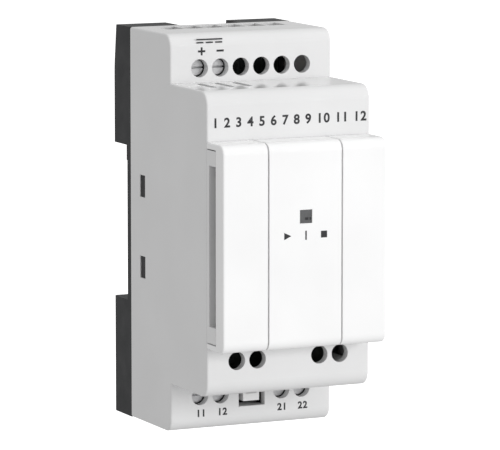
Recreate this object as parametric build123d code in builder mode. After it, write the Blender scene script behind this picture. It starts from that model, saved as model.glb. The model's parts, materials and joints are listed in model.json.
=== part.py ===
from build123d import *

import os

# A stepped DIN-rail controller module, two modules wide.
# Origin: on the rail's centreline, in the plane of the front face of the rail's lips.
# X runs along the rail, Z is up, and the front of the module faces -Y.
# "Forward" distances are measured from the origin plane towards the front (-Y).

# ---------------------------------------------------------------- driving dimensions (mm)
module_width = 40.0
module_height = 90.0
stage_two_height = 68.0
nose_height = 46.0

base_rear = -7.5
notch_floor = 0.4
shell_rear = 2.4
stage_one_front = 24.5
stage_two_front = 44.2
nose_front = 52.8

shell_wall = 2.0
cover_wall = 1.6
gap = 0.1
screw_play = 0.05
stage_one_rounding = 3.0
stage_two_rounding = 3.2
nose_rounding = 2.2
side_rounding = 0.5

# Terminals: columns of rising-cage screw clamps along the top and bottom edges.
terminal_pitch = 5.08
terminal_row = 37.2
screw_hole_radius = 2.03
wire_entry_width = 4.5
wire_entry_rear = 5.3
wire_entry_front = 11.7
clamp_travel = 4.5

# Rail notch and mounting slides.
notch_top = 17.8
notch_bottom = -18.0
channel_half_width = 7.7
wall_screw_spacing = 98.0
slide_travel = 10.8
hole_rest_height = wall_screw_spacing / 2 - slide_travel

# Circuit boards.
board_thickness = 1.6
main_board_rear = 3.0
logic_board_rear = 32.4

# ---------------------------------------------------------------- worked-out dimensions
half_width = module_width / 2
half_height = module_height / 2
stage_two_top = stage_two_height / 2
nose_top = nose_height / 2
inner_width = half_width - shell_wall
stage_one_inner = stage_one_front - shell_wall
stage_two_inner = stage_two_front - shell_wall
main_board_front = main_board_rear + board_thickness
logic_board_front = logic_board_rear + board_thickness
cover_inner = nose_front - cover_wall
columns = [(index - 2.5) * terminal_pitch for index in range(6)]
outer_columns = [columns[0], columns[1], columns[4], columns[5]]

os.makedirs("parts", exist_ok=True)


# ---------------------------------------------------------------- helpers
def front_plane(forward):
    """Plane facing the front at a forward distance; its local x is X and its local y is Z."""
    return Plane.XZ.offset(forward)


def middle(span):
    """Midpoint of a span given by two values."""
    return (span[0] + span[1]) / 2


def block(x_span, z_span, forward_span, mode=Mode.ADD):
    """Add a rectangular block to the part being built, or cut one from it."""
    with Locations((middle(x_span), -middle(forward_span), middle(z_span))):
        Box(
            abs(x_span[1] - x_span[0]),
            abs(forward_span[1] - forward_span[0]),
            abs(z_span[1] - z_span[0]),
            mode=mode,
        )


def rod(x, z, radius, forward_span, mode=Mode.ADD):
    """Add or cut a round rod that runs from back to front."""
    length = forward_span[1] - forward_span[0]
    with Locations((x, -middle(forward_span), z)):
        Cylinder(radius, length, rotation=(90, 0, 0), mode=mode)


def long_front_edges(part, forward, height):
    """The two edges along X at a forward distance and at a height above and below centre."""
    return part.edges().filter_by(Axis.X).filter_by(
        lambda edge: abs(edge.center().Y + forward) < gap
        and abs(abs(edge.center().Z) - height) < gap
    )


def side_face_edges(part, x, rear):
    """The edges of the flat side face at x, without those in its rear plane."""
    faces = part.faces().filter_by(Axis.X).filter_by(lambda face: abs(face.center().X - x) < gap)
    return faces.edges().filter_by(lambda edge: edge.center().Y < -rear - gap)


def save(builder, name):
    """Label a finished piece and write it to its own file."""
    builder.part.label = name
    export_step(builder.part, f"parts/{name}.step")


# ---------------------------------------------------------------- housing shell
port_centre = 14.2
port_half_width = 3.5
port_half_height = 16.2
tab_top = 21.4
tab_thickness = 1.8
tab_front = 49.0
tab_gap = 0.25
tab_notch_rear = 45.6
tab_notch = (-17.7, 18.0)
indicator_x = 0.1
indicator_z = 6.5
indicator_opening = 3.4
upper_hole_row = -26.1
post_x = 15.2
post_z = 29.4
post_radius = 1.9
pilot_radius = 0.95
post_clearance = 0.05
post_overlap = 0.5
pilot_overrun = 0.6
snap_rows = (9.3, -9.3)
snap_half_height = 2.52
snap_span = (7.6, 10.5)
leg_z = 20.2
leg_half_width = 1.5
leg_half_thickness = 0.6
leg_play = 0.3
plate_leg_x = 5.4
vent_columns = (-14.1, -9.8, -5.5)
vent_width = 1.6
vent_length = 9.7
vent_middle = 31.05
service_x = 0.15
service_half_width = 3.25
service_z = (-40.3, -34.6)
shelf_rear = 19.5

with BuildPart() as housing_shell:
    with BuildSketch(front_plane(shell_rear)):
        Rectangle(module_width, module_height)
    extrude(amount=stage_one_front - shell_rear)
    with BuildSketch(front_plane(stage_one_front)):
        Rectangle(module_width, stage_two_height)
    extrude(amount=stage_two_front - stage_one_front)
    fillet(long_front_edges(housing_shell, stage_one_front, half_height), stage_one_rounding)
    fillet(long_front_edges(housing_shell, stage_two_front, stage_two_top), stage_two_rounding)
    for side in (-1, 1):
        fillet(side_face_edges(housing_shell, side * half_width, shell_rear), side_rounding)

    # The hollow behind both steps.
    inner_height = half_height - shell_wall
    block((-inner_width, inner_width), (-inner_height, inner_height),
          (shell_rear, stage_one_inner), Mode.SUBTRACT)
    inner_step = stage_two_top - shell_wall
    block((-inner_width, inner_width), (-inner_step, inner_step),
          (stage_one_inner, stage_two_inner), Mode.SUBTRACT)

    # Side tabs that close the nose below the port covers, each with a notch for the bus bridge.
    for side in (-1, 1):
        tab_x = (side * (half_width - tab_thickness), side * half_width)
        block(tab_x, (-tab_top, tab_top), (stage_two_front, tab_front))
        block(tab_x, tab_notch, (tab_notch_rear, tab_front), Mode.SUBTRACT)

    # Bus port openings, the light guide's opening, and slots for the cover legs.
    wall_span = (stage_two_inner, stage_two_front)
    for side in (-1, 1):
        centre = side * port_centre
        block((centre - port_half_width, centre + port_half_width),
              (-port_half_height, port_half_height), wall_span, Mode.SUBTRACT)
    with BuildSketch(front_plane(stage_two_front)):
        with Locations((indicator_x, indicator_z)):
            Rectangle(indicator_opening, indicator_opening)
        leg_columns = (-port_centre, -plate_leg_x, plate_leg_x, port_centre)
        with Locations(*[(x, z) for x in leg_columns for z in (-leg_z, leg_z)]):
            Rectangle(2 * leg_half_width + leg_play, 2 * leg_half_thickness + leg_play)
    extrude(amount=-shell_wall, mode=Mode.SUBTRACT)

    # Screwdriver holes over the terminal rows.
    with BuildSketch(front_plane(stage_one_front)):
        with Locations(*[(x, terminal_row) for x in columns]):
            Circle(screw_hole_radius)
        with Locations(*[(x, -terminal_row) for x in outer_columns]):
            Circle(screw_hole_radius)
    extrude(amount=-shell_wall, mode=Mode.SUBTRACT)
    with BuildSketch(front_plane(stage_two_front)):
        with Locations(*[(x, upper_hole_row) for x in outer_columns]):
            Circle(screw_hole_radius)
    extrude(amount=-shell_wall, mode=Mode.SUBTRACT)

    # Wire entries through the top and bottom walls.
    entry_length = wire_entry_front - wire_entry_rear
    entry_middle = -(wire_entry_front + wire_entry_rear) / 2
    with BuildSketch(Plane.XY.offset(half_height)):
        with Locations(*[(x, entry_middle) for x in columns]):
            Rectangle(wire_entry_width, entry_length)
    extrude(amount=-shell_wall, mode=Mode.SUBTRACT)
    with BuildSketch(Plane.XY.offset(-half_height)):
        with Locations(*[(x, entry_middle) for x in outer_columns]):
            Rectangle(wire_entry_width, entry_length)
    extrude(amount=shell_wall, mode=Mode.SUBTRACT)

    # Vent slots through the step, above and below.
    for side in (-1, 1):
        with BuildSketch(Plane.XY.offset(side * stage_two_top)):
            with Locations(*[(x, -vent_middle) for x in vent_columns]):
                SlotOverall(vent_length, vent_width, rotation=90)
        extrude(amount=-side * shell_wall, mode=Mode.SUBTRACT)

    # Windows for the rear base's snap lugs, through both sides.
    for side in (-1, 1):
        for z in snap_rows:
            block((side * inner_width, side * half_width),
                  (z - snap_half_height, z + snap_half_height), snap_span, Mode.SUBTRACT)

    # Service socket window, with a shelf behind its lower edge.
    service_span = (service_x - service_half_width, service_x + service_half_width)
    block(service_span, service_z, (stage_one_inner, stage_one_front), Mode.SUBTRACT)
    block(service_span, (-inner_height, service_z[0]), (shelf_rear, stage_one_inner))

    # Posts that carry the logic board.
    for x in (-post_x, post_x):
        for z in (-post_z, post_z):
            rod(x, z, post_radius,
                (logic_board_front + post_clearance, stage_two_inner + post_overlap))
            rod(x, z, pilot_radius,
                (logic_board_front, stage_two_inner - pilot_overrun), Mode.SUBTRACT)
save(housing_shell, "housing_shell")

# ---------------------------------------------------------------- rear base
taper_start = 30.0
taper_rear = 5.7
hump_inner = 9.9
hump_floor = -4.4
hump_wall = 2.0
groove_half_width = 8.9
groove_span = (-4.75, -2.85)
groove_ends = (20.4, 43.6)
channel_end_trim = 0.7
hook_span = (-3.4, -1.15)
hook_tip = 15.4
hook_top = 20.2
hook_root = 18.4
pad_edge = 14.3
lower_pad_half_width = 12.0
base_corner_rounding = 0.8
rim_clearance = 0.15
rim_thickness = 1.45
rim_front = 4.4
peg_x = 14.0
peg_z = 12.0
peg_radius = 1.0
peg_shoulder_radius = 2.0
peg_length = board_thickness + 1.0
lug_tip = 19.8
lug_span = (7.7, 9.9, 10.4)
arm_half_height = 2.45
arm_front = 11.4

with BuildPart() as rear_base:
    block((-half_width, half_width), (-half_height, half_height), (notch_floor, shell_rear))
    with BuildSketch(Plane.YZ.offset(-half_width)):
        with BuildLine():
            Polyline(
                (-notch_floor, notch_top),
                (-base_rear, notch_top),
                (-base_rear, taper_start),
                (taper_rear, half_height),
                (-notch_floor, half_height),
                close=True,
            )
        make_face()
        with BuildLine():
            Polyline(
                (-notch_floor, notch_bottom),
                (-base_rear, notch_bottom),
                (-base_rear, -half_height),
                (-notch_floor, -half_height),
                close=True,
            )
        make_face()
    extrude(amount=module_width)
    rear_corners = rear_base.edges().filter_by(Axis.Z).filter_by(
        lambda edge: abs(edge.center().X) > half_width - gap and edge.center().Y > taper_rear
    )
    fillet(rear_corners, base_corner_rounding)

    # Channels for the mounting slides, with a groove in each channel wall.
    for side, inner_end in ((1, notch_top), (-1, notch_bottom)):
        block((-channel_half_width, channel_half_width), (inner_end, side * half_height),
              (base_rear, notch_floor), Mode.SUBTRACT)
        block((-channel_half_width, channel_half_width),
              (side * (half_height - channel_end_trim), side * half_height),
              (notch_floor, shell_rear), Mode.SUBTRACT)
        block((-groove_half_width, groove_half_width), (side * groove_ends[0], side * groove_ends[1]),
              groove_span, Mode.SUBTRACT)
        for hump in (-1, 1):
            block((hump * hump_inner, hump * inner_width),
                  (inner_end + side * hump_wall, side * (half_height - hump_wall)),
                  (hump_floor, shell_rear), Mode.SUBTRACT)

    # Fixed hook behind the rail's upper lip, and the pads that the lips rest on.
    block((-channel_half_width, channel_half_width), (hook_tip, hook_top), hook_span)
    block((-channel_half_width, channel_half_width), (hook_root, hook_top),
          (hook_span[0], notch_floor))
    block((-half_width, half_width), (pad_edge, notch_top), (0, notch_floor))
    block((-lower_pad_half_width, lower_pad_half_width), (-notch_top, -pad_edge), (0, notch_floor))

    # Locating rim inside the shell, and the pegs that carry the main board.
    rim_x = inner_width - rim_clearance
    rim_z = half_height - shell_wall - rim_clearance
    block((-rim_x, rim_x), (-rim_z, rim_z), (shell_rear, rim_front))
    block((rim_thickness - rim_x, rim_x - rim_thickness), (rim_thickness - rim_z, rim_z - rim_thickness),
          (shell_rear, rim_front), Mode.SUBTRACT)
    for x in (-peg_x, peg_x):
        for z in (-peg_z, peg_z):
            rod(x, z, peg_shoulder_radius, (shell_rear, main_board_rear))
            rod(x, z, peg_radius, (main_board_rear, main_board_rear + peg_length))

    # Snap arms with wedge lugs that catch in the shell's side windows.
    for side in (-1, 1):
        arm_x = (side * (rim_x - rim_thickness), side * rim_x)
        for z in snap_rows:
            block(arm_x, (z - arm_half_height, z + arm_half_height), (shell_rear, arm_front))
            with BuildSketch(Plane.XY.offset(z - arm_half_height)):
                with BuildLine():
                    Polyline(
                        (side * rim_x, -lug_span[2]),
                        (side * lug_tip, -lug_span[1]),
                        (side * lug_tip, -lug_span[0]),
                        (side * rim_x, -lug_span[0]),
                        close=True,
                    )
                make_face()
            extrude(amount=2 * arm_half_height)
save(rear_base, "rear_base")

# ---------------------------------------------------------------- mounting slides
slide_half_width = 7.5
slide_span = (-7.4, -3.0)
slide_rail_half_width = 8.7
slide_rail_span = (-4.6, -3.0)
slide_ends = (20.6, 43.4)
slide_rail_end = 32.4
screw_clearance_radius = 2.25
screw_head_radius = 4.3
screw_floor = -5.0
slide_corner = 0.6
pry_slot = (3.0, 0.9, (-6.8, -5.6))
arm_slot_x = 5.4
arm_slot_half_width = 0.4
arm_slot_ends = (23.5, 33.0)
catch_half_width = 6.5
catch_ends = (15.8, 18.8, 23.0)
catch_chamfer = 1.2


def mounting_slide(name, side, has_catch):
    """A slide in the base's channel: a wall-screw foot, and on the lower one the rail catch."""
    with BuildPart() as slide:
        ends = (side * slide_ends[0], side * slide_ends[1])
        block((-slide_half_width, slide_half_width), ends, slide_span)
        block((-slide_rail_half_width, slide_rail_half_width), (ends[0], side * slide_rail_end),
              slide_rail_span)
        corners = slide.edges().filter_by(Axis.Y).filter_by(
            lambda edge: abs(edge.center().Z) > slide_ends[1] - gap
        )
        fillet(corners, slide_corner)
        rod(0, side * hole_rest_height, screw_clearance_radius, slide_span, Mode.SUBTRACT)
        rod(0, side * hole_rest_height, screw_head_radius, (screw_floor, slide_span[1]), Mode.SUBTRACT)
        # Screwdriver slot in the outer end.
        pry_half_width, pry_depth, pry_span = pry_slot
        block((-pry_half_width, pry_half_width),
              (side * (slide_ends[1] - pry_depth), side * slide_ends[1]), pry_span, Mode.SUBTRACT)
        # Long slots that free a sprung arm on each side.
        for x in (-arm_slot_x, arm_slot_x):
            block((x - arm_slot_half_width, x + arm_slot_half_width),
                  (side * arm_slot_ends[0], side * arm_slot_ends[1]), slide_span, Mode.SUBTRACT)
        if has_catch:
            block((-slide_half_width, slide_half_width),
                  (side * catch_ends[1], side * catch_ends[2]), (slide_span[0], hook_span[1]))
            block((-catch_half_width, catch_half_width),
                  (side * catch_ends[0], side * catch_ends[1]), hook_span)
            tip = slide.edges().filter_by(Axis.X).filter_by(
                lambda edge: abs(edge.center().Z - side * catch_ends[0]) < gap
                and abs(edge.center().Y + hook_span[0]) < gap
            )
            chamfer(tip, catch_chamfer)
    save(slide, name)


mounting_slide("upper_mounting_slide", 1, False)
mounting_slide("lower_mounting_slide", -1, True)

# ---------------------------------------------------------------- nose: front plate and port covers
seam = 0.35
plate_half_width = 8.8
window_half = 1.5
cover_seat = 0.05
cover_rear = stage_two_front + cover_seat
skirt_inner = nose_top - cover_wall
lip_outer = skirt_inner - gap
lip_front = cover_inner - gap
lip_thickness = 0.8
lip_reach = 10.3
leg_tip = stage_two_inner - 1.6
leg_overlap = 0.2


def cover_leg(x, z):
    """A straight leg that pushes into a slot in the shell."""
    block((x - leg_half_width, x + leg_half_width), (z - leg_half_thickness, z + leg_half_thickness),
          (leg_tip, cover_inner + leg_overlap))


with BuildPart() as front_plate:
    block((-plate_half_width, plate_half_width), (-nose_top, nose_top), (cover_rear, nose_front))
    fillet(long_front_edges(front_plate, nose_front, nose_top), nose_rounding)
    # Lips that lie under the edges of the port covers, then the hollow behind plate and lips.
    block((-lip_reach, lip_reach), (-lip_outer, lip_outer), (cover_rear + gap, lip_front))
    block((-lip_reach, lip_reach), (lip_thickness - lip_outer, lip_outer - lip_thickness),
          (cover_rear, lip_front - lip_thickness), Mode.SUBTRACT)
    for x in (-plate_leg_x, plate_leg_x):
        for z in (-leg_z, leg_z):
            cover_leg(x, z)
    block((indicator_x - window_half, indicator_x + window_half),
          (indicator_z - window_half, indicator_z + window_half), (cover_rear, nose_front), Mode.SUBTRACT)
save(front_plate, "front_plate")


def port_cover(name, side):
    """A lift-off cover over one bus port: front, top and bottom skirts, and a notched side."""
    with BuildPart() as cover:
        inner_x = side * (plate_half_width + seam)
        outer_x = side * half_width
        block((inner_x, outer_x), (-nose_top, nose_top), (cover_rear, nose_front))
        fillet(long_front_edges(cover, nose_front, nose_top), nose_rounding)
        fillet(side_face_edges(cover, outer_x, cover_rear), side_rounding)
        block((inner_x, side * (half_width - cover_wall)), (-skirt_inner, skirt_inner),
              (cover_rear, cover_inner), Mode.SUBTRACT)
        block((side * (half_width - tab_thickness - gap), outer_x),
              (-tab_top - tab_gap, tab_top + tab_gap), (cover_rear, tab_front + cover_seat), Mode.SUBTRACT)
        for z in (-leg_z, leg_z):
            cover_leg(side * port_centre, z)
    save(cover, name)


port_cover("left_port_cover", -1)
port_cover("right_port_cover", 1)

# ---------------------------------------------------------------- status indicator
guide_half = 1.45
guide_rear = 35.4
flange_half = 2.2
flange_span = (48.4, 49.6)
led_offset = 0.75
led_half_width = 0.4
led_half_height = 0.8
led_thickness = 0.7

with BuildPart() as status_light_guide:
    block((indicator_x - guide_half, indicator_x + guide_half),
          (indicator_z - guide_half, indicator_z + guide_half), (guide_rear, nose_front - gap))
    block((indicator_x - flange_half, indicator_x + flange_half),
          (indicator_z - flange_half, indicator_z + flange_half), flange_span)
save(status_light_guide, "status_light_guide")

with BuildPart() as status_leds:
    for x in (indicator_x - led_offset, indicator_x + led_offset):
        block((x - led_half_width, x + led_half_width),
              (indicator_z - led_half_height, indicator_z + led_half_height),
              (logic_board_front, logic_board_front + led_thickness))
save(status_leds, "status_leds")

# ---------------------------------------------------------------- circuit boards
main_half_x = 16.2
main_half_z = 41.2
logic_half_x = 17.4
logic_half_z = 31.4
leg_row = 33.8
leg_hole_radius = 0.75
pin_hole_radius = 0.5
board_screw_hole_radius = 1.1
link_z = -8.0
link_pitch = 2.54
link_places = [
    ((index - 2.5) * link_pitch, link_z + row * link_pitch / 2) for index in range(6) for row in (-1, 1)
]

with BuildPart() as main_board:
    block((-main_half_x, main_half_x), (-main_half_z, main_half_z), (main_board_rear, main_board_front))
    with BuildSketch(front_plane(main_board_front)):
        with GridLocations(2 * peg_x, 2 * peg_z, 2, 2):
            Circle(peg_radius + gap)
        with Locations(*link_places):
            Circle(pin_hole_radius)
        with Locations(*[(x, -leg_row) for x in outer_columns], *[(x, leg_row) for x in columns[:2]]):
            Circle(leg_hole_radius)
    extrude(amount=-board_thickness, mode=Mode.SUBTRACT)
save(main_board, "main_board")

with BuildPart() as logic_board:
    block((-logic_half_x, logic_half_x), (-logic_half_z, logic_half_z),
          (logic_board_rear, logic_board_front))
    with BuildSketch(front_plane(logic_board_front)):
        with GridLocations(2 * post_x, 2 * post_z, 2, 2):
            Circle(board_screw_hole_radius)
    extrude(amount=-board_thickness, mode=Mode.SUBTRACT)
save(logic_board, "logic_board")

board_screw_head = 1.3
board_screw_thread = 7.0
cross_recess_depth = 0.6
cross_recess_reach = 1.1
cross_recess_half_width = 0.25

with BuildPart() as board_screws:
    head_rear_face = logic_board_rear - board_screw_head
    recess = (head_rear_face, head_rear_face + cross_recess_depth)
    for x in (-post_x, post_x):
        for z in (-post_z, post_z):
            rod(x, z, post_radius, (head_rear_face, logic_board_rear))
            rod(x, z, pilot_radius - screw_play, (logic_board_rear, logic_board_rear + board_screw_thread))
            for reach_x, reach_z in ((cross_recess_reach, cross_recess_half_width),
                                     (cross_recess_half_width, cross_recess_reach)):
                block((x - reach_x, x + reach_x), (z - reach_z, z + reach_z), recess, Mode.SUBTRACT)
save(board_screws, "board_screws")

# ---------------------------------------------------------------- board link
link_half_x = 7.7
link_half_z = 2.5
pin_half = 0.32
pin_bore_radius = 0.48
pin_tail = 0.4
link_bore_depth = 7.0
pin_engagement = 6.0
header_front = main_board_front + 2.5
socket_rear = logic_board_rear - 8.5

with BuildPart() as link_header:
    block((-link_half_x, link_half_x), (link_z - link_half_z, link_z + link_half_z),
          (main_board_front, header_front))
    with BuildSketch(front_plane(header_front)):
        with Locations(*link_places):
            Circle(pin_bore_radius)
    extrude(amount=main_board_front - header_front, mode=Mode.SUBTRACT)
save(link_header, "link_header")

with BuildPart() as link_socket:
    block((-link_half_x, link_half_x), (link_z - link_half_z, link_z + link_half_z),
          (socket_rear, logic_board_rear))
    with BuildSketch(front_plane(socket_rear)):
        with Locations(*link_places):
            Circle(pin_bore_radius)
    extrude(amount=link_bore_depth, mode=Mode.SUBTRACT)
save(link_socket, "link_socket")

with BuildPart() as link_pins:
    with BuildSketch(front_plane(main_board_rear - pin_tail)):
        with Locations(*link_places):
            Rectangle(2 * pin_half, 2 * pin_half)
    extrude(amount=socket_rear + pin_engagement - main_board_rear + pin_tail)
save(link_pins, "link_pins")

# ---------------------------------------------------------------- terminal blocks
block_front = 22.3
block_outer = 42.8
block_inner = 32.6
block_half_width = 5.3
cage_room_half = 2.12
cage_room_z = (34.75, 40.05)
cage_span = (5.15, 14.3)
cage_room = (5.0, cage_span[1] + clamp_travel + 0.6)
ledge_front = 20.4
head_bore_radius = 2.0
shank_bore_radius = 1.35
bar_rear = 11.8
bar_front = 12.6
bar_half_width = 1.3
bar_slot_half_width = 1.4
bar_end = 39.8
bar_leg_half_width = 0.5
bar_leg_half_height = 0.4
bar_leg_tail = 0.4
wire_funnel_half_width = 1.8
wire_funnel_span = (5.5, 11.5)


def terminal_block(name, first_column, side):
    """A two-pole rising-cage terminal block; side is 1 on the top edge and -1 on the bottom."""
    poles = (columns[first_column], columns[first_column + 1])
    centre = middle(poles)
    with BuildPart() as body:
        block((centre - block_half_width, centre + block_half_width),
              (side * block_inner, side * block_outer), (main_board_front, block_front))
        for x in poles:
            block((x - cage_room_half, x + cage_room_half),
                  (side * cage_room_z[0], side * cage_room_z[1]), cage_room, Mode.SUBTRACT)
            block((x - wire_funnel_half_width, x + wire_funnel_half_width),
                  (side * (cage_room_z[1] - gap), side * block_outer), wire_funnel_span, Mode.SUBTRACT)
            rod(x, side * terminal_row, shank_bore_radius, (cage_room[1], ledge_front), Mode.SUBTRACT)
            rod(x, side * terminal_row, head_bore_radius, (ledge_front, block_front), Mode.SUBTRACT)
            # Slots for the contact bar and its soldered leg.
            leg_half_x = bar_leg_half_width + gap
            leg_half_z = bar_leg_half_height + gap
            block((x - bar_slot_half_width, x + bar_slot_half_width),
                  (side * (leg_row - leg_half_z), side * cage_room_z[0]),
                  (bar_rear - gap, bar_front + gap), Mode.SUBTRACT)
            block((x - leg_half_x, x + leg_half_x),
                  (side * (leg_row - leg_half_z), side * (leg_row + leg_half_z)),
                  (main_board_front, bar_front + gap), Mode.SUBTRACT)
    save(body, name)


terminal_block("power_terminal_block", 0, 1)
terminal_block("line_terminal_block", 0, -1)
terminal_block("termination_terminal_block", 4, -1)

poles = [
    ("power_plus", columns[0], 1),
    ("power_minus", columns[1], 1),
    ("line_a", columns[0], -1),
    ("line_b", columns[1], -1),
    ("termination_one", columns[4], -1),
    ("termination_two", columns[5], -1),
]

with BuildPart() as contact_bars:
    for _, x, side in poles:
        inner_z = side * (leg_row - bar_leg_half_height)
        block((x - bar_half_width, x + bar_half_width), (inner_z, side * bar_end), (bar_rear, bar_front))
        block((x - bar_leg_half_width, x + bar_leg_half_width),
              (inner_z, side * (leg_row + bar_leg_half_height)),
              (main_board_rear - bar_leg_tail, bar_front))
save(contact_bars, "contact_bars")

head_radius = 1.9
shank_radius = 1.25
head_span = (20.45, 22.3)
head_rounding = 0.3
slot_half_width = 0.22
slot_depth = 0.9
cage_half_width = 2.05
cage_wall = 0.6
cage_z = (34.9, 39.9)
cage_floor = 0.7
cage_roof = 1.4


def terminal_screw(name, x, side):
    """A slotted cheese-head screw; its tip bears on the contact bar."""
    with BuildPart() as screw:
        z = side * terminal_row
        rod(x, z, shank_radius, (bar_front + screw_play, head_span[0]))
        rod(x, z, head_radius, head_span)
        fillet(screw.edges().filter_by(GeomType.CIRCLE).sort_by(Axis.Y)[0], head_rounding)
        block((x - head_radius, x + head_radius), (z - slot_half_width, z + slot_half_width),
              (head_span[1] - slot_depth, head_span[1]), Mode.SUBTRACT)
    save(screw, name)


def clamp_cage(name, x, side):
    """A rising cage: a square tube round the contact bar, with the screw's hole in its front wall."""
    with BuildPart() as cage:
        z_span = (side * cage_z[0], side * cage_z[1])
        block((x - cage_half_width, x + cage_half_width), z_span, cage_span)
        block((x - cage_half_width + cage_wall, x + cage_half_width - cage_wall), z_span,
              (cage_span[0] + cage_floor, cage_span[1] - cage_roof), Mode.SUBTRACT)
        rod(x, side * terminal_row, shank_radius + screw_play,
            (cage_span[1] - cage_roof, cage_span[1]), Mode.SUBTRACT)
    save(cage, name)


for pole, x, side in poles:
    terminal_screw(f"{pole}_screw", x, side)
    clamp_cage(f"{pole}_clamp", x, side)

# ---------------------------------------------------------------- service socket
socket_half_width = 2.0
socket_z = (-39.2, -34.8)
socket_front = 24.2
socket_floor = 17.0
socket_cavity_z = (-37.5, -35.5)
service_pin_columns = (service_x - 0.7, service_x + 0.7)
service_pin_z = middle(socket_cavity_z)
socket_cavity_half_width = 1.3
service_pin_half = 0.25
service_pin_hole_half = 0.3
service_pin_front = 22.2


def service_pin_blocks(half, front, mode):
    """Square prisms on the two pin places, from the main board forward."""
    for x in service_pin_columns:
        block((x - half, x + half), (service_pin_z - half, service_pin_z + half),
              (main_board_front, front), mode)


with BuildPart() as service_socket:
    block((service_x - socket_half_width, service_x + socket_half_width), socket_z,
          (main_board_front, socket_front))
    block((service_x - socket_cavity_half_width, service_x + socket_cavity_half_width),
          socket_cavity_z, (socket_floor, socket_front), Mode.SUBTRACT)
    service_pin_blocks(service_pin_hole_half, socket_floor, Mode.SUBTRACT)
save(service_socket, "service_socket")

with BuildPart() as service_pins:
    service_pin_blocks(service_pin_half, service_pin_front, Mode.ADD)
save(service_pins, "service_pins")

# ---------------------------------------------------------------- bus sockets
bus_half_width = 3.2
bus_half_height = 15.5
bus_front = 45.3
bus_floor = logic_board_front + 2.0
bus_slot_half_width = 1.4
bus_end_wall = 1.2
bus_contact_hole = 0.74
bus_contact_front = 43.8
bus_rows = [(index - 4.5) * link_pitch for index in range(10)]


def bus_socket(name, side):
    """A long socket under one port cover, with a slot that holds a row of contacts."""
    centre = side * port_centre
    with BuildPart() as socket:
        block((centre - bus_half_width, centre + bus_half_width), (-bus_half_height, bus_half_height),
              (logic_board_front, bus_front))
        block((centre - bus_slot_half_width, centre + bus_slot_half_width),
              (bus_end_wall - bus_half_height, bus_half_height - bus_end_wall),
              (bus_floor, bus_front), Mode.SUBTRACT)
        with BuildSketch(front_plane(bus_floor)):
            with Locations(*[(centre, z) for z in bus_rows]):
                Rectangle(bus_contact_hole, bus_contact_hole)
        extrude(amount=logic_board_front - bus_floor, mode=Mode.SUBTRACT)
    save(socket, name)


bus_socket("left_bus_socket", -1)
bus_socket("right_bus_socket", 1)

with BuildPart() as bus_contacts:
    with BuildSketch(front_plane(logic_board_front)):
        with Locations(*[(side * port_centre, z) for side in (-1, 1) for z in bus_rows]):
            Rectangle(2 * pin_half, 2 * pin_half)
    extrude(amount=bus_contact_front - logic_board_front)
save(bus_contacts, "bus_contacts")


# ---------------------------------------------------------------- electronic components
lead_half_width = 0.18
lead_thickness = 0.3
lead_reach = 1.0
chip_standoff = 0.15
small_outline = (4.9, 3.9)


def chip(name, places, size, height, four_sided, lead_count, lead_pitch):
    """Moulded chips with gull-wing leads above and below, and on the sides where four_sided."""
    half_x, half_z = size[0] / 2, size[1] / 2
    with BuildPart() as package:
        for x, z, board in places:
            lead_span = (board, board + lead_thickness)
            block((x - half_x, x + half_x), (z - half_z, z + half_z),
                  (board + chip_standoff, board + chip_standoff + height))
            for index in range(lead_count):
                offset = (index - (lead_count - 1) / 2) * lead_pitch
                block((x + offset - lead_half_width, x + offset + lead_half_width),
                      (z - half_z - lead_reach, z + half_z + lead_reach), lead_span)
                if four_sided:
                    block((x - half_x - lead_reach, x + half_x + lead_reach),
                          (z + offset - lead_half_width, z + offset + lead_half_width), lead_span)
    save(package, name)


controller_place = (0, 20.0, logic_board_front)
transceiver_place = (-10.0, -26.0, main_board_front)
optocoupler_places = [(x, -18.0, main_board_front) for x in (-10.5, -3.5, 3.5)]
chip("microcontroller", [controller_place], (10.0, 10.0), 1.4, True, 11, 0.8)
chip("line_transceiver", [transceiver_place], small_outline, 1.5, False, 4, 1.27)
chip("optocouplers", optocoupler_places, small_outline, 1.9, False, 4, 1.27)

converter_x = (-1.5, 13.5)
converter_z = (14.5, 24.5)
converter_height = 8.0
converter_rounding = 0.6

with BuildPart() as isolated_converter:
    block(converter_x, converter_z, (main_board_front, main_board_front + converter_height))
    fillet(isolated_converter.edges().filter_by(Axis.Y), converter_rounding)
save(isolated_converter, "isolated_converter")

capacitor_places = ((-11.0, 23.5), (-11.0, 2.0))
capacitor_radius = 4.0
capacitor_front = main_board_front + 12.0
capacitor_rounding = 0.7
score_half_length = 2.5
score_half_width = 0.2
score_depth = 0.25

with BuildPart() as bulk_capacitors:
    for x, z in capacitor_places:
        rod(x, z, capacitor_radius, (main_board_front, capacitor_front))
    fillet(bulk_capacitors.edges().filter_by(GeomType.CIRCLE).group_by(Axis.Y)[0], capacitor_rounding)
    # Crossed vent scores in each can's end.
    for x, z in capacitor_places:
        for reach_x, reach_z in ((score_half_length, score_half_width),
                                 (score_half_width, score_half_length)):
            block((x - reach_x, x + reach_x), (z - reach_z, z + reach_z),
                  (capacitor_front - score_depth, capacitor_front), Mode.SUBTRACT)
save(bulk_capacitors, "bulk_capacitors")

inductor_base_x = (-3.6, 3.6)
inductor_base_z = (2.0, 9.2)
inductor_base_front = main_board_front + 1.0
inductor_core_radius = 2.6
inductor_flange_radius = 3.4
inductor_flange = 0.8
inductor_winding = 1.8

with BuildPart() as power_inductor:
    block(inductor_base_x, inductor_base_z, (main_board_front, inductor_base_front))
    winding_rear = inductor_base_front + inductor_flange
    winding_front = winding_rear + inductor_winding
    centre_z = middle(inductor_base_z)
    rod(0, centre_z, inductor_flange_radius, (inductor_base_front, winding_rear))
    rod(0, centre_z, inductor_core_radius, (winding_rear, winding_front))
    rod(0, centre_z, inductor_flange_radius, (winding_front, winding_front + inductor_flange))
save(power_inductor, "power_inductor")

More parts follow.
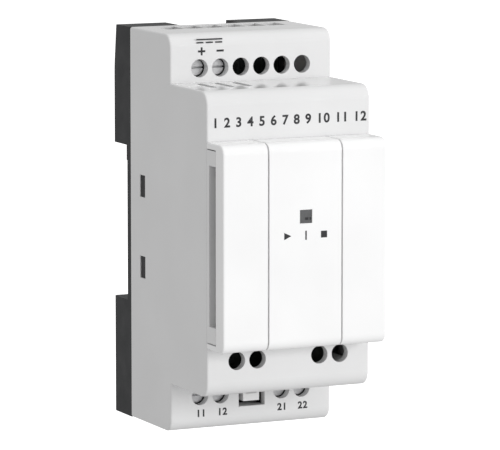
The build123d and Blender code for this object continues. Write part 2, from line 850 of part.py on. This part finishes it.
fuse_x = 2.0
fuse_top = 30.2
fuse_radius = 3.6
fuse_thickness = 2.0
fuse_centre_forward = main_board_front + 5.2
fuse_lead_x = (0.0, 4.0)
fuse_lead_z = (28.9, 29.5)
fuse_lead_front = main_board_front + 4.0
through_lead_half = 0.3

with BuildPart() as resettable_fuse:
    with BuildSketch(Plane.XY.offset(fuse_top)):
        with Locations((fuse_x, -fuse_centre_forward)):
            Circle(fuse_radius)
    extrude(amount=-fuse_thickness)
    for x in fuse_lead_x:
        block((x - through_lead_half, x + through_lead_half), fuse_lead_z,
              (main_board_front, fuse_lead_front))
save(resettable_fuse, "resettable_fuse")

diode_places = ((10.0, 29.5), (12.5, -23.0))
diode_half_x = 2.2
diode_half_z = 1.8
diode_height = 2.3
diode_chamfer = 0.4

with BuildPart() as surge_diodes:
    for x, z in diode_places:
        block((x - diode_half_x, x + diode_half_x), (z - diode_half_z, z + diode_half_z),
              (main_board_front, main_board_front + diode_height))
    chamfer(surge_diodes.faces().sort_by(Axis.Y)[0:2].edges(), diode_chamfer)
save(surge_diodes, "surge_diodes")

resistor_forward = main_board_front + 1.6
resistor_z = -29.0
resistor_body = (6.0, 6.5, 1.3)
resistor_lead = (4.0, 10.5, 0.3)

with BuildPart() as termination_resistor:
    for start, length, radius in (resistor_body, resistor_lead):
        with BuildSketch(Plane.YZ.offset(start)):
            with Locations((-resistor_forward, resistor_z)):
                Circle(radius)
        extrude(amount=length)
    for x in (resistor_lead[0], resistor_lead[0] + resistor_lead[1]):
        block((x - through_lead_half, x + through_lead_half),
              (resistor_z - through_lead_half, resistor_z + through_lead_half),
              (main_board_front, resistor_forward + through_lead_half))
save(termination_resistor, "termination_resistor")

crystal_z = -8.0
crystal_can = (11.0, 4.6, 3.5)
crystal_flange = (11.8, 5.4, 0.4)

with BuildPart() as crystal:
    for length, width, height in (crystal_can, crystal_flange):
        with BuildSketch(front_plane(logic_board_front)):
            with Locations((0, crystal_z)):
                SlotOverall(length, width)
        extrude(amount=height)
save(crystal, "crystal")
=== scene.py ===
import json
import math

import bpy
from mathutils import Matrix, Vector


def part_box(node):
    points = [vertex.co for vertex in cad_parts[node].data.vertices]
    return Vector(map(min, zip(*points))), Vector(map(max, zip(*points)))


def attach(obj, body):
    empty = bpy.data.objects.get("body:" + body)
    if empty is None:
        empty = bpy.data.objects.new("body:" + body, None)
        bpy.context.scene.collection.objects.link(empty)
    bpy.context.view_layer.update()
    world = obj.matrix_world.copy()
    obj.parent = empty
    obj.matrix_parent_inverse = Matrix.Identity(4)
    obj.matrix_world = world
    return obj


# Looks for the stepped DIN-rail controller module. Lengths are in metres, in the CAD's row frame:
# X along the rail, Z up, and the front of the module faces -Y.

MM = 0.001

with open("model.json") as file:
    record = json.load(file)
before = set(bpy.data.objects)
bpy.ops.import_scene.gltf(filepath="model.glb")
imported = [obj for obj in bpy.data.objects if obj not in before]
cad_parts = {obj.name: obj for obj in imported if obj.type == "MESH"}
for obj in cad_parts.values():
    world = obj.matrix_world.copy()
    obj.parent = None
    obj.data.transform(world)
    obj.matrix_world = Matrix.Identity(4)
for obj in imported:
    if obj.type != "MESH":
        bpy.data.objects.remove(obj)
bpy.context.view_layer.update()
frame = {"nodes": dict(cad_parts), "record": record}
scene = bpy.context.scene


# ---------------------------------------------------------------- node tree helpers
# The colour sockets of a Mix node share their names with its other sockets, so they go by number.
MIX_COLOUR_A, MIX_COLOUR_B, MIX_COLOUR_RESULT = 6, 7, 2
BEVEL_SAMPLES = 4


def new_material(name):
    """A node material with an output and a Principled shader, in place of any of that name."""
    plain = bpy.data.materials.get(name)
    if plain is not None:
        bpy.data.materials.remove(plain)
    material = bpy.data.materials.new(name)
    material.use_nodes = True
    tree = material.node_tree
    tree.nodes.clear()
    output = tree.nodes.new("ShaderNodeOutputMaterial")
    shader = tree.nodes.new("ShaderNodeBsdfPrincipled")
    tree.links.new(shader.outputs["BSDF"], output.inputs["Surface"])
    return material, tree, shader


def noise(tree, feature_size, detail=3.0, roughness=0.5):
    """A noise texture in object space whose features are about feature_size metres across."""
    coordinates = tree.nodes.new("ShaderNodeTexCoord")
    texture = tree.nodes.new("ShaderNodeTexNoise")
    texture.inputs["Scale"].default_value = 1.0 / feature_size
    texture.inputs["Detail"].default_value = detail
    texture.inputs["Roughness"].default_value = roughness
    tree.links.new(coordinates.outputs["Object"], texture.inputs["Vector"])
    return texture.outputs["Fac"]


def remap(tree, value, low, high, start=0.3, end=0.7):
    """Map values from start to end onto low to high. The defaults suit a noise texture."""
    node = tree.nodes.new("ShaderNodeMapRange")
    node.inputs["From Min"].default_value = start
    node.inputs["From Max"].default_value = end
    node.inputs["To Min"].default_value = low
    node.inputs["To Max"].default_value = high
    tree.links.new(value, node.inputs["Value"])
    return node.outputs["Result"]


def mix_colours(tree, factor, first, second):
    """Mix two colours. Each is an RGB triple or a socket."""
    node = tree.nodes.new("ShaderNodeMix")
    node.data_type = "RGBA"
    tree.links.new(factor, node.inputs["Factor"])
    for value, number in ((first, MIX_COLOUR_A), (second, MIX_COLOUR_B)):
        if isinstance(value, bpy.types.NodeSocket):
            tree.links.new(value, node.inputs[number])
        else:
            node.inputs[number].default_value = (*value, 1.0)
    return node.outputs[MIX_COLOUR_RESULT]


def scaled(colour, factor):
    """A colour multiplied by a factor, with no channel above 1."""
    return tuple(min(1.0, channel * factor) for channel in colour)


def rounded_normal(tree, radius):
    """The surface normal as if the edges were rounded to the radius."""
    bevel = tree.nodes.new("ShaderNodeBevel")
    bevel.samples = BEVEL_SAMPLES
    bevel.inputs["Radius"].default_value = radius
    return bevel.outputs["Normal"]


def edge_mask(tree, rounded):
    """Close to 1 where the rounded normal leaves the true one, and 0 on flat faces."""
    geometry = tree.nodes.new("ShaderNodeNewGeometry")
    dot = tree.nodes.new("ShaderNodeVectorMath")
    dot.operation = "DOT_PRODUCT"
    tree.links.new(geometry.outputs["Normal"], dot.inputs[0])
    tree.links.new(rounded, dot.inputs[1])
    return remap(tree, dot.outputs["Value"], low=1.0, high=0.0, start=0.80, end=0.99)


def surface_bump(tree, height, normal, strength, distance):
    """A bump node over an incoming normal, or over the surface's own where that is None."""
    bump = tree.nodes.new("ShaderNodeBump")
    bump.inputs["Strength"].default_value = strength
    bump.inputs["Distance"].default_value = distance
    tree.links.new(height, bump.inputs["Height"])
    if normal is not None:
        tree.links.new(normal, bump.inputs["Normal"])
    return bump.outputs["Normal"]


# ---------------------------------------------------------------- kinds of material
PLASTIC_EDGE_RADIUS = 0.18 * MM
METAL_EDGE_RADIUS = 0.06 * MM
SCRATCH_SIZE = 0.25 * MM
TRACK_PITCH = 4 * MM
ACRYLIC_IOR = 1.49


def moulded_plastic(name, colour, roughness, grain=0.16 * MM, depth=0.012 * MM, variation=0.02,
                    edge_highlight=1.06, specular=0.4):
    """Moulded plastic: fine grain, slow colour drift, and a painted highlight that makes the colour lighter
    along edges.
    """
    material, tree, shader = new_material(name)
    drift = remap(tree, noise(tree, 18 * MM, detail=2.0), low=0.0, high=1.0)
    base = mix_colours(tree, drift, scaled(colour, 1.0 - variation), scaled(colour, 1.0 + variation))
    rounded = rounded_normal(tree, PLASTIC_EDGE_RADIUS)
    # Painted highlight: where the edge mask finds an edge, the colour is made lighter by the edge factor.
    edge_highlighted_colour = mix_colours(tree, edge_mask(tree, rounded), base, scaled(colour, edge_highlight))
    tree.links.new(edge_highlighted_colour, shader.inputs["Base Color"])
    fine = noise(tree, grain, detail=4.0, roughness=0.6)
    tree.links.new(remap(tree, noise(tree, 5 * MM), low=roughness * 0.9, high=roughness * 1.1),
                   shader.inputs["Roughness"])
    tree.links.new(surface_bump(tree, fine, rounded, strength=0.35, distance=depth), shader.inputs["Normal"])
    shader.inputs["Specular IOR Level"].default_value = specular
    return material


def plated_metal(name, colour, roughness, brush=(1.0, 1.0, 1.0), metallic=1.0):
    """Plated metal with fine scratches, drawn out by the brush scales, and slight tarnish."""
    material, tree, shader = new_material(name)
    shader.inputs["Metallic"].default_value = metallic
    coordinates = tree.nodes.new("ShaderNodeTexCoord")
    stretch = tree.nodes.new("ShaderNodeMapping")
    stretch.inputs["Scale"].default_value = brush
    scratches = tree.nodes.new("ShaderNodeTexNoise")
    scratches.inputs["Scale"].default_value = 1.0 / SCRATCH_SIZE
    scratches.inputs["Detail"].default_value = 4.0
    tree.links.new(coordinates.outputs["Object"], stretch.inputs["Vector"])
    tree.links.new(stretch.outputs["Vector"], scratches.inputs["Vector"])
    tarnish = remap(tree, noise(tree, 1.2 * MM), low=0.0, high=1.0)
    tree.links.new(mix_colours(tree, tarnish, scaled(colour, 0.86), scaled(colour, 1.04)),
                   shader.inputs["Base Color"])
    tree.links.new(remap(tree, scratches.outputs["Fac"], low=roughness * 0.75, high=roughness * 1.3),
                   shader.inputs["Roughness"])
    rounded = rounded_normal(tree, METAL_EDGE_RADIUS)
    scratched = surface_bump(tree, scratches.outputs["Fac"], rounded, strength=0.25, distance=0.006 * MM)
    tree.links.new(scratched, shader.inputs["Normal"])
    return material


def printed_ink(name, colour):
    """Pad-printed ink: slightly uneven density and a matte finish."""
    material, tree, shader = new_material(name)
    density = remap(tree, noise(tree, 0.35 * MM, detail=4.0, roughness=0.6), low=0.0, high=1.0)
    tree.links.new(mix_colours(tree, density, scaled(colour, 0.85), scaled(colour, 1.2)),
                   shader.inputs["Base Color"])
    tree.links.new(remap(tree, noise(tree, 0.2 * MM, detail=2.0), low=0.5, high=0.7),
                   shader.inputs["Roughness"])
    tree.links.new(surface_bump(tree, noise(tree, 0.1 * MM), None, strength=0.2, distance=0.004 * MM),
                   shader.inputs["Normal"])
    return material


def circuit_board(name):
    """Black solder mask, with a faint raised grid that stands for copper tracks under it."""
    material, tree, shader = new_material(name)
    coordinates = tree.nodes.new("ShaderNodeTexCoord")
    grid = tree.nodes.new("ShaderNodeTexBrick")
    grid.inputs["Scale"].default_value = 1.0 / TRACK_PITCH
    grid.inputs["Mortar Size"].default_value = 0.05
    tree.links.new(coordinates.outputs["Object"], grid.inputs["Vector"])
    tracks = grid.outputs["Fac"]
    tree.links.new(mix_colours(tree, tracks, (0.010, 0.013, 0.012), (0.022, 0.028, 0.025)),
                   shader.inputs["Base Color"])
    tree.links.new(remap(tree, noise(tree, 2 * MM, detail=2.0), low=0.25, high=0.4),
                   shader.inputs["Roughness"])
    tree.links.new(surface_bump(tree, tracks, None, strength=0.4, distance=0.03 * MM),
                   shader.inputs["Normal"])
    return material


def smoky_lens(name):
    """Dark smoky acrylic: a little light passes through, with a faint swirl in the tint."""
    material, tree, shader = new_material(name)
    swirl = remap(tree, noise(tree, 1.5 * MM), low=0.0, high=1.0)
    tree.links.new(mix_colours(tree, swirl, (0.125, 0.127, 0.13), (0.155, 0.157, 0.16)),
                   shader.inputs["Base Color"])
    shader.inputs["Transmission Weight"].default_value = 0.2
    shader.inputs["IOR"].default_value = ACRYLIC_IOR
    tree.links.new(remap(tree, noise(tree, 0.6 * MM, detail=2.0), low=0.12, high=0.22),
                   shader.inputs["Roughness"])
    ripple = noise(tree, 0.3 * MM, detail=2.0)
    tree.links.new(surface_bump(tree, ripple, None, strength=0.1, distance=0.004 * MM),
                   shader.inputs["Normal"])
    return material


# ---------------------------------------------------------------- one material for each slot
POLISHED = 0.0006 * MM

slot_materials = [
    moulded_plastic("shell_grey", (0.785, 0.785, 0.787), 0.13, depth=POLISHED, specular=0.5),
    moulded_plastic("nose_white", (0.95, 0.95, 0.951), 0.13, depth=POLISHED, specular=0.5),
    # The black plastics below get a stronger painted highlight along their edges.
    moulded_plastic("base_black", (0.0165, 0.0172, 0.019), 0.55, variation=0.10, edge_highlight=1.9),
    moulded_plastic("slide_black", (0.036, 0.037, 0.040), 0.42, variation=0.10, edge_highlight=1.9),
    moulded_plastic("terminal_black", (0.03, 0.03, 0.033), 0.45, variation=0.10, edge_highlight=1.8),
    moulded_plastic("connector_black", (0.022, 0.022, 0.024), 0.42, variation=0.10),
    moulded_plastic("chip_black", (0.02, 0.02, 0.021), 0.55, grain=0.08 * MM, variation=0.15),
    moulded_plastic("socket_white", (0.88, 0.88, 0.875), 0.3, grain=0.3 * MM),
    moulded_plastic("ferrite", (0.07, 0.07, 0.075), 0.6, variation=0.2),
    moulded_plastic("fuse_ochre", (0.62, 0.36, 0.06), 0.3, variation=0.08),
    moulded_plastic("resistor_tan", (0.60, 0.45, 0.28), 0.3, variation=0.08),
    moulded_plastic("led_body", (0.75, 0.78, 0.55), 0.2, variation=0.05),
    smoky_lens("smoke_lens"),
    circuit_board("board_dark"),
    plated_metal("screw_steel", (0.80, 0.80, 0.81), 0.5, brush=(0.3, 1.0, 3.0), metallic=0.5),
    plated_metal("clamp_steel", (0.58, 0.58, 0.58), 0.35, brush=(1.0, 0.3, 1.0)),
    plated_metal("zinc_steel", (0.62, 0.63, 0.66), 0.35),
    plated_metal("tinned_copper", (0.66, 0.65, 0.62), 0.4),
    plated_metal("gold_contact", (0.78, 0.58, 0.22), 0.3),
    plated_metal("capacitor_can", (0.68, 0.68, 0.70), 0.32, brush=(1.0, 0.2, 1.0)),
    plated_metal("crystal_steel", (0.66, 0.66, 0.68), 0.3),
]
material_of_slot = {material.name: material for material in slot_materials}
slot_of_node = {part["node"]: part["material_slot"] for part in frame["record"]["subparts"]}
for node_name, node_object in frame["nodes"].items():
    node_object.data.materials.clear()
    node_object.data.materials.append(material_of_slot[slot_of_node[node_name]])

# ---------------------------------------------------------------- printing
INK_THICKNESS = 0.02 * MM
FIGURE_SHARE = 0.72  # a figure's height as a share of the font's size
CURVE_STEPS = 6

ink = printed_ink("printed_ink", (0.035, 0.035, 0.038))
shadow_ink = printed_ink("shadow_ink", (0.03, 0.03, 0.032))


def finished_print(name, mesh, material=ink):
    """Give a print its ink and let it ride with the housing."""
    mesh.materials.clear()
    mesh.materials.append(material)
    print_object = bpy.data.objects.new(name, mesh)
    scene.collection.objects.link(print_object)
    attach(print_object, "housing")


def printed_text(name, text, height, centre, face, bolder, spacing):
    """A line of figures as a thin raised print, centred on an (x, z) point of a forward face."""
    x, z = centre
    curve = bpy.data.curves.new(name, "FONT")
    curve.body = text
    curve.align_x = "CENTER"
    curve.align_y = "CENTER"
    curve.size = height / FIGURE_SHARE
    curve.offset = bolder
    curve.space_character = spacing
    curve.extrude = INK_THICKNESS / 2
    curve.resolution_u = CURVE_STEPS
    text_object = bpy.data.objects.new(name, curve)
    scene.collection.objects.link(text_object)
    bpy.context.view_layer.update()
    mesh = bpy.data.meshes.new_from_object(text_object)
    bpy.data.objects.remove(text_object)
    upright = Matrix.Rotation(math.radians(90), 4, "X")
    mesh.transform(Matrix.Translation((x, face - INK_THICKNESS / 2, z)) @ upright)
    finished_print(name, mesh)


def printed_shape(name, outlines, face, material=ink):
    """A mark of flat outlines, each a list of (x, z) points, as a thin raised print on a face."""
    vertices, faces = [], []
    for outline in outlines:
        first = len(vertices)
        count = len(outline)
        vertices += [(x, face, z) for x, z in outline]
        vertices += [(x, face - INK_THICKNESS, z) for x, z in outline]
        faces.append(list(range(first, first + count)))
        faces.append(list(range(first + 2 * count - 1, first + count - 1, -1)))
        for index in range(count):
            after = (index + 1) % count
            faces.append([first + index, first + count + index, first + count + after, first + after])
    mesh = bpy.data.meshes.new(name)
    mesh.from_pydata(vertices, [], faces)
    mesh.update()
    finished_print(name, mesh, material)


def bar(x, z, width, height):
    """The outline of a bar centred on x and z."""
    return [(x - width / 2, z - height / 2), (x + width / 2, z - height / 2),
            (x + width / 2, z + height / 2), (x - width / 2, z + height / 2)]


# ---------------------------------------------------------------- the marks
# The fronts of the block with the terminals, of the block in front of it, of the nose, and of the lens.
stage_one_face = -24.5 * MM
stage_two_face = -44.2 * MM
nose_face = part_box("front_plate")[0].y
lens_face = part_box("status_light_guide")[0].y

# A row of plain figures across the middle block.
scale_figures = " ".join(str(figure) for figure in range(1, 13))
scale_centre = (0.3 * MM, 26.95 * MM)
printed_text("terminal_scale", scale_figures, height=2.1 * MM, centre=scale_centre,
             face=stage_two_face, bolder=0.09 * MM, spacing=1.19)

# The sign for direct current: a long bar over three dashes.
supply_x = -10.3 * MM
supply_stroke = 0.32 * MM
supply_bar_z, supply_dash_z = 43.65 * MM, 42.95 * MM
supply_bar_width, supply_dash_width = 6.4 * MM, 1.7 * MM
supply_dash_pitch = 2.3 * MM
supply_dashes = [bar(supply_x + step * supply_dash_pitch, supply_dash_z, supply_dash_width, supply_stroke)
                 for step in (-1, 0, 1)]
printed_shape("supply_mark", [bar(supply_x, supply_bar_z, supply_bar_width, supply_stroke), *supply_dashes],
              stage_one_face)

# Plus and minus over the two supply screws. The plus has a crossbar and two upright arms.
plus_x, minus_x = -12.2 * MM, -7.65 * MM
sign_z = 41.0 * MM
sign_width = 1.8 * MM
sign_stroke = 0.45 * MM
arm_height = (sign_width - sign_stroke) / 2
arm_rise = (sign_stroke + arm_height) / 2
for name, x in (("plus_mark", plus_x), ("minus_mark", minus_x)):
    printed_shape(name, [bar(x, sign_z, sign_width, sign_stroke)], stage_one_face)
for name, side in (("plus_mark_upper", 1), ("plus_mark_lower", -1)):
    printed_shape(name, [bar(plus_x, sign_z + side * arm_rise, sign_stroke, arm_height)], stage_one_face)

# Figures under the four lower screws.
terminal_figure_z = -41.2 * MM
for figure, x in (("11", -12.5 * MM), ("12", -7.2 * MM), ("21", 7.8 * MM), ("22", 13.0 * MM)):
    printed_text(f"terminal_figure_{figure}", figure, height=1.6 * MM, centre=(x, terminal_figure_z),
                 face=stage_one_face, bolder=0.08 * MM, spacing=1.15)

# Run, a dividing bar, and stop, under the indicator.
run_stop_z = 2.35 * MM
run_half_height = 0.8 * MM
run_back, run_tip = -5.2 * MM, -3.5 * MM
run_triangle = [(run_back, run_stop_z - run_half_height), (run_tip, run_stop_z),
                (run_back, run_stop_z + run_half_height)]
divider = bar(0.1 * MM, run_stop_z, width=0.35 * MM, height=2.0 * MM)
stop_square = bar(4.5 * MM, run_stop_z, width=1.5 * MM, height=1.5 * MM)
printed_shape("run_stop_mark", [run_triangle, divider, stop_square], nose_face)

# The dark shapes that show in the indicator's lens.
shadow_z, shadow_height = 6.0 * MM, 0.6 * MM
wide_shadow = bar(0.29 * MM, shadow_z, width=0.8 * MM, height=shadow_height)
narrow_shadow = bar(1.2 * MM, shadow_z, width=0.4 * MM, height=shadow_height)
printed_shape("indicator_shadows", [wide_shadow, narrow_shadow], lens_face, shadow_ink)

# ---------------------------------------------------------------- floor
# The floor lies low enough for the lower slide to travel its full length. It is brighter to the camera
# than to the module, so the background is plain white and the module isn't washed out from below.
FLOOR_DROP = 12 * MM
FLOOR_HALF = 4.0
FLOOR_GLOW = 0.32
FLOOR_SEEN_GLOW = 0.62

floor_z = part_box("housing_shell")[0].z - FLOOR_DROP
floor_mesh = bpy.data.meshes.new("floor")
floor_mesh.from_pydata(
    [(x * FLOOR_HALF, y * FLOOR_HALF, floor_z) for x, y in ((-1, -1), (1, -1), (1, 1), (-1, 1))],
    [], [(0, 1, 2, 3)])
floor = bpy.data.objects.new("floor", floor_mesh)
scene.collection.objects.link(floor)
floor_material, floor_tree, floor_shader = new_material("floor_paper")
seen = floor_tree.nodes.new("ShaderNodeLightPath").outputs["Is Camera Ray"]
paper = mix_colours(floor_tree, noise(floor_tree, 0.3), (0.93, 0.93, 0.93), (0.95, 0.95, 0.95))
floor_tree.links.new(mix_colours(floor_tree, seen, (0.3, 0.3, 0.3), paper), floor_shader.inputs["Base Color"])
floor_shader.inputs["Roughness"].default_value = 0.9
floor_shader.inputs["Emission Color"].default_value = (1.0, 1.0, 1.0, 1.0)
floor_tree.links.new(remap(floor_tree, seen, FLOOR_GLOW, FLOOR_SEEN_GLOW, start=0.0, end=1.0),
                     floor_shader.inputs["Emission Strength"])
floor.data.materials.append(floor_material)

# ---------------------------------------------------------------- light
WORLD_STRENGTH = 0.59

world = bpy.data.worlds.new("studio")
scene.world = world
world.use_nodes = True
background = world.node_tree.nodes["Background"]
background.inputs["Color"].default_value = (1.0, 1.0, 1.0, 1.0)
background.inputs["Strength"].default_value = WORLD_STRENGTH


def softbox(name, location, aim, size, power):
    """A large square area light that looks at a point and leaves no mirrored square."""
    light = bpy.data.lights.new(name, "AREA")
    light.size = size
    light.energy = power
    lamp = bpy.data.objects.new(name, light)
    lamp.location = location
    lamp.rotation_euler = (Vector(aim) - Vector(location)).to_track_quat("-Z", "Y").to_euler()
    lamp.visible_glossy = False
    scene.collection.objects.link(lamp)


softbox("overhead_box", location=(0.35, -0.1, 1.15), aim=(0, 0, 0), size=0.65, power=2.5)
softbox("front_right_box", location=(0.75, -1.3, 0.25), aim=(0, -0.03, 0), size=0.6, power=11.3)

# ---------------------------------------------------------------- camera
camera_azimuth = math.radians(-25.05)
camera_elevation = math.radians(7.74)
camera_distance = 0.9411
camera_aim = Vector((8.17 * MM, -6.45 * MM, -1.56 * MM))

camera_data = bpy.data.cameras.new("camera")
camera_data.sensor_width = 36.0
camera_data.lens = 293.37
camera_data.clip_start = 0.01
camera = bpy.data.objects.new("camera", camera_data)
level = math.cos(camera_elevation)
towards_camera = Vector((math.sin(camera_azimuth) * level, -math.cos(camera_azimuth) * level,
                         math.sin(camera_elevation)))
camera.location = camera_aim + camera_distance * towards_camera
camera.rotation_euler = (-towards_camera).to_track_quat("-Z", "Y").to_euler()
scene.collection.objects.link(camera)
scene.camera = camera
scene.view_settings.view_transform = "Standard"
